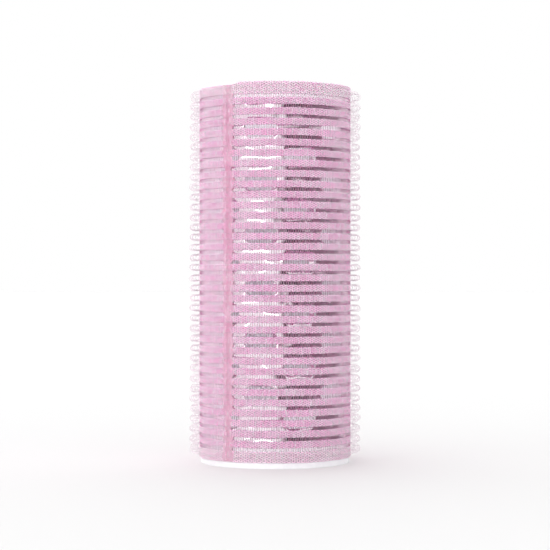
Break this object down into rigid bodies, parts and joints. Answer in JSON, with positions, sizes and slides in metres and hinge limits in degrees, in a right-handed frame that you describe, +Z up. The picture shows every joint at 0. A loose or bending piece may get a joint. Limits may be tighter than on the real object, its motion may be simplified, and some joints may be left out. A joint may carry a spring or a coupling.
{
  "type": "hair roller",
  "caption": "Self-grip hair roller: a vented plastic tube with a metal foil heat sleeve, wrapped in woven hook tape whose nylon hooks hold the hair.",
  "frame": {"origin": "centre of the tube's lower rim, on the surface that the roller stands on", "axes": "+Z up along the tube's axis, -Y towards the front (the seam lies to the left of it), +X to the right"},
  "size_m": [0.029, 0.029, 0.063],
  "materials": {
    "core_plastic": "translucent natural polypropylene, satin",
    "foil_metal": "thin bright foil, lightly creased",
    "base_fabric": "sheer woven polyester yarns along the tube",
    "band_fabric": "dense woven polyester bands round the tube",
    "selvedge_fabric": "plain woven polyester selvedge",
    "seam_adhesive": "clear hot-melt film in the lap",
    "hook_nylon": "clear nylon monofilament, glossy"
  },
  "bodies": {
    "root": {"core_tube": "core_plastic", "foil_sleeve": "foil_metal", "base_cloth": "base_fabric", "warp_bands": "band_fabric", "selvedge_bottom": "selvedge_fabric", "selvedge_top": "selvedge_fabric", "tape_lap": "band_fabric", "lap_adhesive": "seam_adhesive", "hook_row_01": "hook_nylon", "hook_row_02": "hook_nylon", "hook_row_03": "hook_nylon", "hook_row_04": "hook_nylon", "hook_row_05": "hook_nylon", "hook_row_06": "hook_nylon", "hook_row_07": "hook_nylon", "hook_row_08": "hook_nylon", "hook_row_09": "hook_nylon", "hook_row_10": "hook_nylon", "hook_row_11": "hook_nylon", "hook_row_12": "hook_nylon", "hook_row_13": "hook_nylon", "hook_row_14": "hook_nylon", "hook_row_15": "hook_nylon", "hook_row_16": "hook_nylon", "hook_row_17": "hook_nylon", "hook_row_18": "hook_nylon", "hook_row_19": "hook_nylon", "hook_row_20": "hook_nylon", "hook_row_21": "hook_nylon", "hook_row_22": "hook_nylon", "hook_row_23": "hook_nylon", "hook_row_24": "hook_nylon", "hook_row_25": "hook_nylon", "hook_row_26": "hook_nylon", "hook_row_27": "hook_nylon", "hook_row_28": "hook_nylon", "hook_row_29": "hook_nylon", "hook_row_30": "hook_nylon", "hook_row_31": "hook_nylon", "hook_row_32": "hook_nylon", "hook_row_33": "hook_nylon", "hook_row_34": "hook_nylon", "hook_row_35": "hook_nylon", "hook_row_36": "hook_nylon"}
  },
  "joints": []
}
